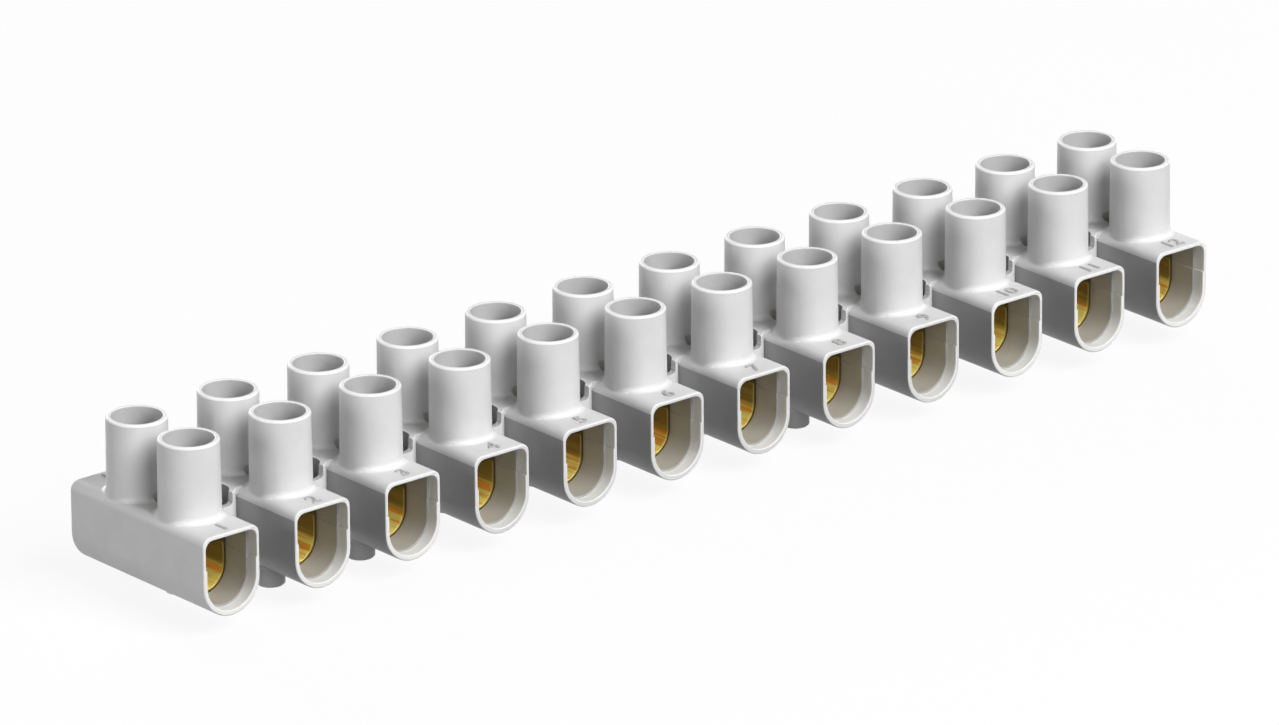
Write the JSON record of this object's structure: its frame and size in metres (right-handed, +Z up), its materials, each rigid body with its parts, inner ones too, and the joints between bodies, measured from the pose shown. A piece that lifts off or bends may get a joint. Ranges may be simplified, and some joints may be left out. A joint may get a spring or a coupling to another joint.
{
  "type": "terminal strip",
  "caption": "Moulded terminal strip for wires: round screw towers above open tunnels, with fixing holes between the poles and locating pegs below.",
  "frame": {"origin": "middle of the strip at the height of its base, between the two outermost fixing holes", "axes": "+X along the row of poles, +Y towards the back mouths, +Z up along the screw towers"},
  "size_m": [0.116, 0.0188, 0.0165],
  "materials": {
    "housing": "satin moulded",
    "brass": "drawn",
    "screw": "zinc plated"
  },
  "bodies": {
    "strip": {"housing": "housing", "insert_01": "brass", "insert_02": "brass", "insert_03": "brass", "insert_04": "brass", "insert_05": "brass", "insert_06": "brass", "insert_07": "brass", "insert_08": "brass", "insert_09": "brass", "insert_10": "brass", "insert_11": "brass", "insert_12": "brass"},
    "front_screw_01": {"screw_front_01": "screw"},
    "front_screw_02": {"screw_front_02": "screw"},
    "front_screw_03": {"screw_front_03": "screw"},
    "front_screw_04": {"screw_front_04": "screw"},
    "front_screw_05": {"screw_front_05": "screw"},
    "front_screw_06": {"screw_front_06": "screw"},
    "front_screw_07": {"screw_front_07": "screw"},
    "front_screw_08": {"screw_front_08": "screw"},
    "front_screw_09": {"screw_front_09": "screw"},
    "front_screw_10": {"screw_front_10": "screw"},
    "front_screw_11": {"screw_front_11": "screw"},
    "front_screw_12": {"screw_front_12": "screw"},
    "back_screw_01": {"screw_back_01": "screw"},
    "back_screw_02": {"screw_back_02": "screw"},
    "back_screw_03": {"screw_back_03": "screw"},
    "back_screw_04": {"screw_back_04": "screw"},
    "back_screw_05": {"screw_back_05": "screw"},
    "back_screw_06": {"screw_back_06": "screw"},
    "back_screw_07": {"screw_back_07": "screw"},
    "back_screw_08": {"screw_back_08": "screw"},
    "back_screw_09": {"screw_back_09": "screw"},
    "back_screw_10": {"screw_back_10": "screw"},
    "back_screw_11": {"screw_back_11": "screw"},
    "back_screw_12": {"screw_back_12": "screw"}
  },
  "joints": [
    {"name": "front_01_travel", "type": "slide", "parent": "strip", "child": "front_screw_01", "axis": [0, 0, 1], "range_m": [-0.0035, 0]},
    {"name": "front_02_travel", "type": "slide", "parent": "strip", "child": "front_screw_02", "axis": [0, 0, 1], "range_m": [-0.0035, 0]},
    {"name": "front_03_travel", "type": "slide", "parent": "strip", "child": "front_screw_03", "axis": [0, 0, 1], "range_m": [-0.0035, 0]},
    {"name": "front_04_travel", "type": "slide", "parent": "strip", "child": "front_screw_04", "axis": [0, 0, 1], "range_m": [-0.0035, 0]},
    {"name": "front_05_travel", "type": "slide", "parent": "strip", "child": "front_screw_05", "axis": [0, 0, 1], "range_m": [-0.0035, 0]},
    {"name": "front_06_travel", "type": "slide", "parent": "strip", "child": "front_screw_06", "axis": [0, 0, 1], "range_m": [-0.0035, 0]},
    {"name": "front_07_travel", "type": "slide", "parent": "strip", "child": "front_screw_07", "axis": [0, 0, 1], "range_m": [-0.0035, 0]},
    {"name": "front_08_travel", "type": "slide", "parent": "strip", "child": "front_screw_08", "axis": [0, 0, 1], "range_m": [-0.0035, 0]},
    {"name": "front_09_travel", "type": "slide", "parent": "strip", "child": "front_screw_09", "axis": [0, 0, 1], "range_m": [-0.0035, 0]},
    {"name": "front_10_travel", "type": "slide", "parent": "strip", "child": "front_screw_10", "axis": [0, 0, 1], "range_m": [-0.0035, 0]},
    {"name": "front_11_travel", "type": "slide", "parent": "strip", "child": "front_screw_11", "axis": [0, 0, 1], "range_m": [-0.0035, 0]},
    {"name": "front_12_travel", "type": "slide", "parent": "strip", "child": "front_screw_12", "axis": [0, 0, 1], "range_m": [-0.0035, 0]},
    {"name": "back_01_travel", "type": "slide", "parent": "strip", "child": "back_screw_01", "axis": [0, 0, 1], "range_m": [-0.0035, 0]},
    {"name": "back_02_travel", "type": "slide", "parent": "strip", "child": "back_screw_02", "axis": [0, 0, 1], "range_m": [-0.0035, 0]},
    {"name": "back_03_travel", "type": "slide", "parent": "strip", "child": "back_screw_03", "axis": [0, 0, 1], "range_m": [-0.0035, 0]},
    {"name": "back_04_travel", "type": "slide", "parent": "strip", "child": "back_screw_04", "axis": [0, 0, 1], "range_m": [-0.0035, 0]},
    {"name": "back_05_travel", "type": "slide", "parent": "strip", "child": "back_screw_05", "axis": [0, 0, 1], "range_m": [-0.0035, 0]},
    {"name": "back_06_travel", "type": "slide", "parent": "strip", "child": "back_screw_06", "axis": [0, 0, 1], "range_m": [-0.0035, 0]},
    {"name": "back_07_travel", "type": "slide", "parent": "strip", "child": "back_screw_07", "axis": [0, 0, 1], "range_m": [-0.0035, 0]},
    {"name": "back_08_travel", "type": "slide", "parent": "strip", "child": "back_screw_08", "axis": [0, 0, 1], "range_m": [-0.0035, 0]},
    {"name": "back_09_travel", "type": "slide", "parent": "strip", "child": "back_screw_09", "axis": [0, 0, 1], "range_m": [-0.0035, 0]},
    {"name": "back_10_travel", "type": "slide", "parent": "strip", "child": "back_screw_10", "axis": [0, 0, 1], "range_m": [-0.0035, 0]},
    {"name": "back_11_travel", "type": "slide", "parent": "strip", "child": "back_screw_11", "axis": [0, 0, 1], "range_m": [-0.0035, 0]},
    {"name": "back_12_travel", "type": "slide", "parent": "strip", "child": "back_screw_12", "axis": [0, 0, 1], "range_m": [-0.0035, 0]}
  ]
}
